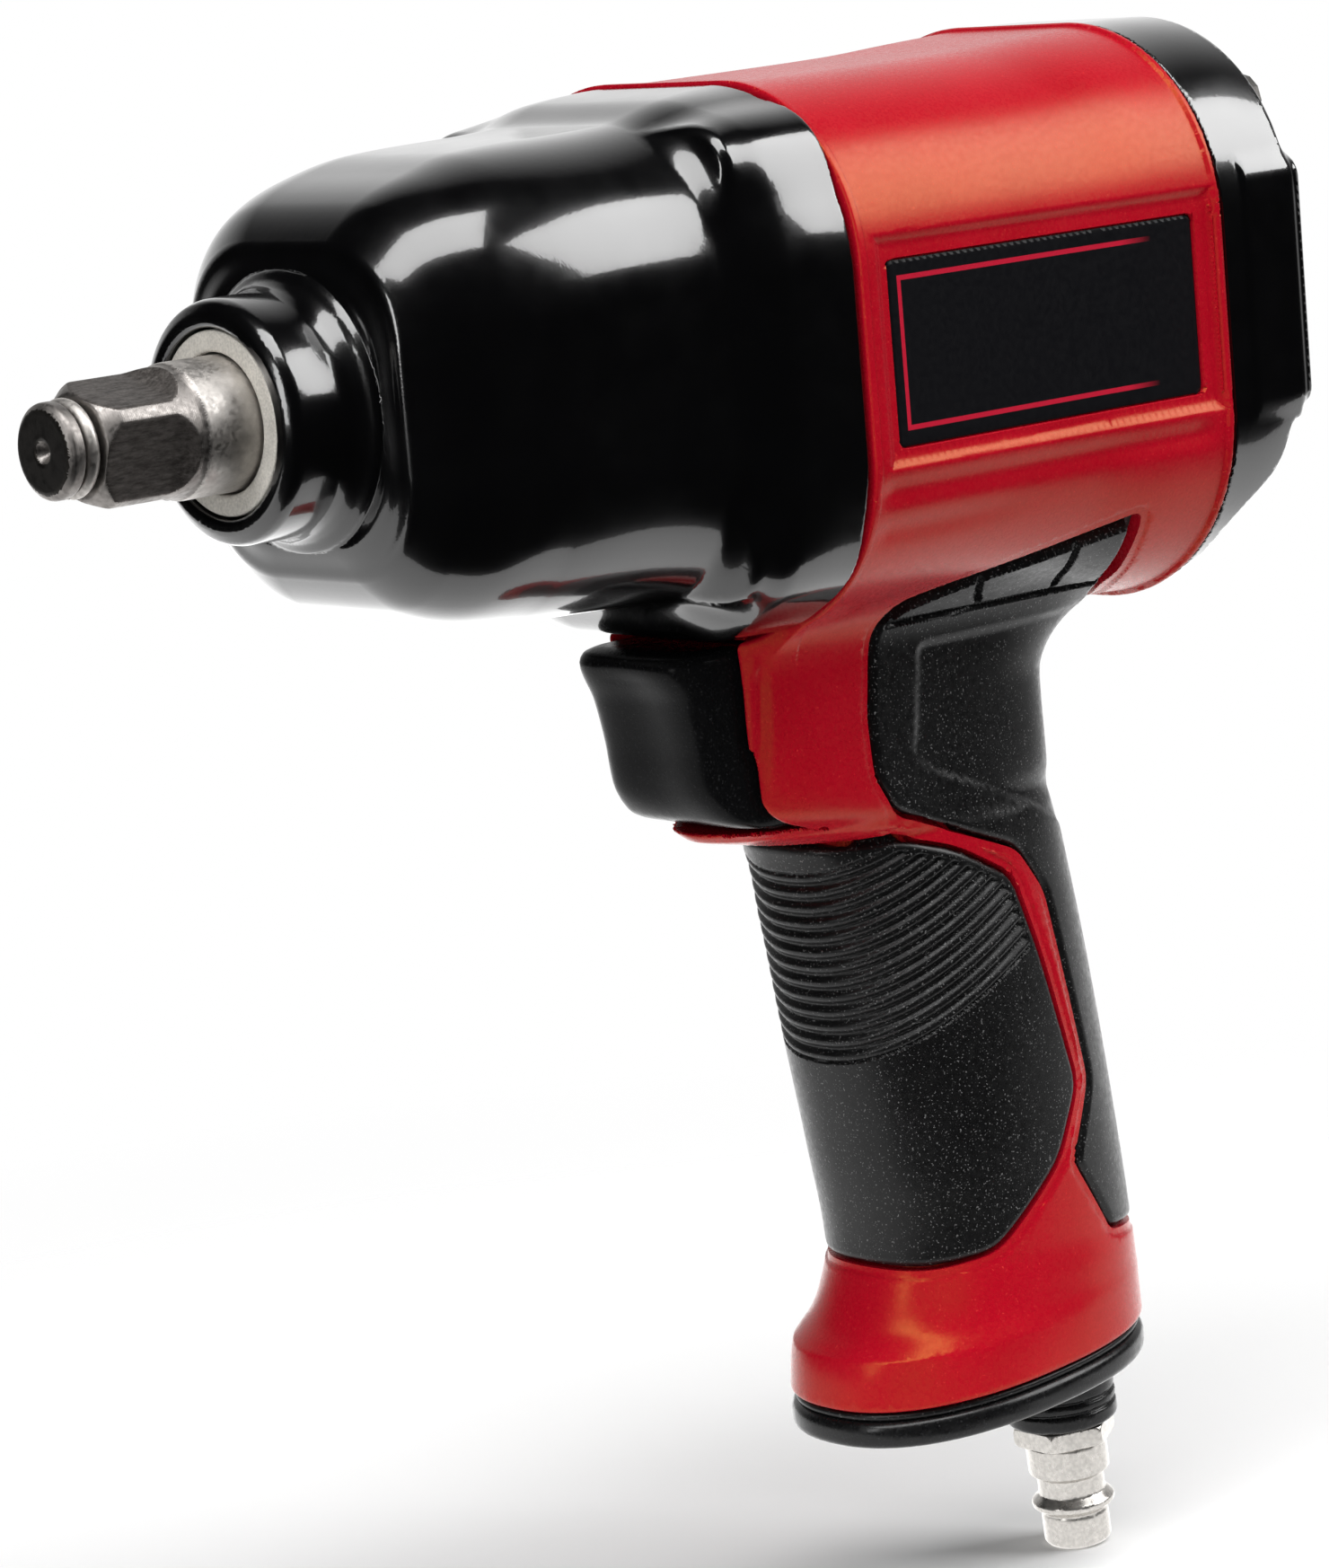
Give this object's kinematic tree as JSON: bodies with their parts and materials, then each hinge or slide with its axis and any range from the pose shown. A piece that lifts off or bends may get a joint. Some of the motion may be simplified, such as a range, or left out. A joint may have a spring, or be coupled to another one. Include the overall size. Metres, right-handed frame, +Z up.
{
  "type": "impact wrench",
  "caption": "Pistol-grip pneumatic impact wrench with a square drive anvil, hammer case, trigger, rubber grips and an air nipple under the handle.",
  "frame": {"origin": "centre of the anvil's nose face, on the drive axis", "axes": "+X forward out of the anvil along the drive axis, +Z up, +Y the tool's left side"},
  "size_m": [0.1967, 0.072, 0.2133],
  "materials": {
    "steel": "machined",
    "dark_steel": "blackened",
    "bush_metal": "sintered",
    "case_paint": "high gloss",
    "nickel": "nickel plated",
    "bronze": "turned",
    "vane_fibre": "pressed fibre",
    "red_composite": "moulded satin",
    "grip_rubber": "speckled matte",
    "label_plate": "printed",
    "black_plastic": "satin",
    "felt": "felt"
  },
  "bodies": {
    "housing": {"front_end_plate": "steel", "rear_end_plate": "steel", "trigger_spring": "steel", "throttle_spring": "steel", "cylinder_liner": "dark_steel", "valve_bushing": "dark_steel", "cover_bolt_1": "dark_steel", "cover_bolt_2": "dark_steel", "cover_bolt_3": "dark_steel", "cover_bolt_4": "dark_steel", "foot_screw_1": "dark_steel", "foot_screw_2": "dark_steel", "foot_screw_3": "dark_steel", "anvil_bush": "bush_metal", "hammer_case": "case_paint", "rear_cover": "case_paint", "front_bearing": "nickel", "rear_bearing": "nickel", "air_nipple": "nickel", "inlet_screen": "nickel", "trigger_bush": "bronze", "throttle_seat": "bronze", "motor_housing": "red_composite", "front_grip": "grip_rubber", "rear_grip": "grip_rubber", "foot_gasket": "grip_rubber", "label_left": "label_plate", "label_right": "label_plate", "foot_plate": "black_plastic", "inlet_bushing": "black_plastic", "muffler_felt": "felt"},
    "rotor": {"rotor": "steel", "hammer_cage": "steel", "hammer_pin_upper": "steel", "hammer_pin_lower": "steel", "vane_1": "vane_fibre", "vane_2": "vane_fibre", "vane_3": "vane_fibre", "vane_4": "vane_fibre", "vane_5": "vane_fibre", "vane_6": "vane_fibre"},
    "anvil": {"anvil": "steel", "friction_ring": "steel"},
    "dog_front": {"hammer_dog_front": "dark_steel"},
    "dog_rear": {"hammer_dog_rear": "dark_steel"},
    "trigger": {"trigger": "black_plastic", "trigger_rod": "nickel"},
    "throttle": {"throttle_valve": "nickel"},
    "selector": {"selector_knob": "black_plastic", "selector_spool": "steel", "selector_screw": "dark_steel"}
  },
  "joints": [
    {"name": "rotor_spin", "type": "hinge", "parent": "housing", "child": "rotor", "pos_m": [-0.129, 0, 0], "axis": [1, 0, 0], "continuous": true},
    {"name": "anvil_spin", "type": "hinge", "parent": "housing", "child": "anvil", "pos_m": [-0.04, 0, 0], "axis": [1, 0, 0], "continuous": true},
    {"name": "front_dog_rock", "type": "hinge", "parent": "rotor", "child": "dog_front", "pos_m": [-0.0652, 0, 0.0174], "axis": [1, 0, 0], "range_deg": [-2.5, 2.5]},
    {"name": "rear_dog_rock", "type": "hinge", "parent": "rotor", "child": "dog_rear", "pos_m": [-0.0816, 0, -0.0174], "axis": [1, 0, 0], "range_deg": [-2.5, 2.5]},
    {"name": "trigger_slide", "type": "slide", "parent": "housing", "child": "trigger", "axis": [-1, 0, 0], "range_m": [0, 0.007], "stiffness_N_per_m": 900, "springref_m": -0.005, "deforming": ["trigger_spring"]},
    {"name": "throttle_slide", "type": "slide", "parent": "housing", "child": "throttle", "axis": [-1, 0, 0], "range_m": [0, 0.007], "stiffness_N_per_m": 300, "springref_m": -0.003, "deforming": ["throttle_spring"]},
    {"name": "selector_turn", "type": "hinge", "parent": "housing", "child": "selector", "pos_m": [-0.18, 0, 0], "axis": [1, 0, 0], "range_deg": [0, 90]}
  ],
  "couplings": [
    {"joint": "anvil_spin", "follows": "rotor_spin", "ratio": 1},
    {"joint": "throttle_slide", "follows": "trigger_slide", "ratio": 1}
  ]
}
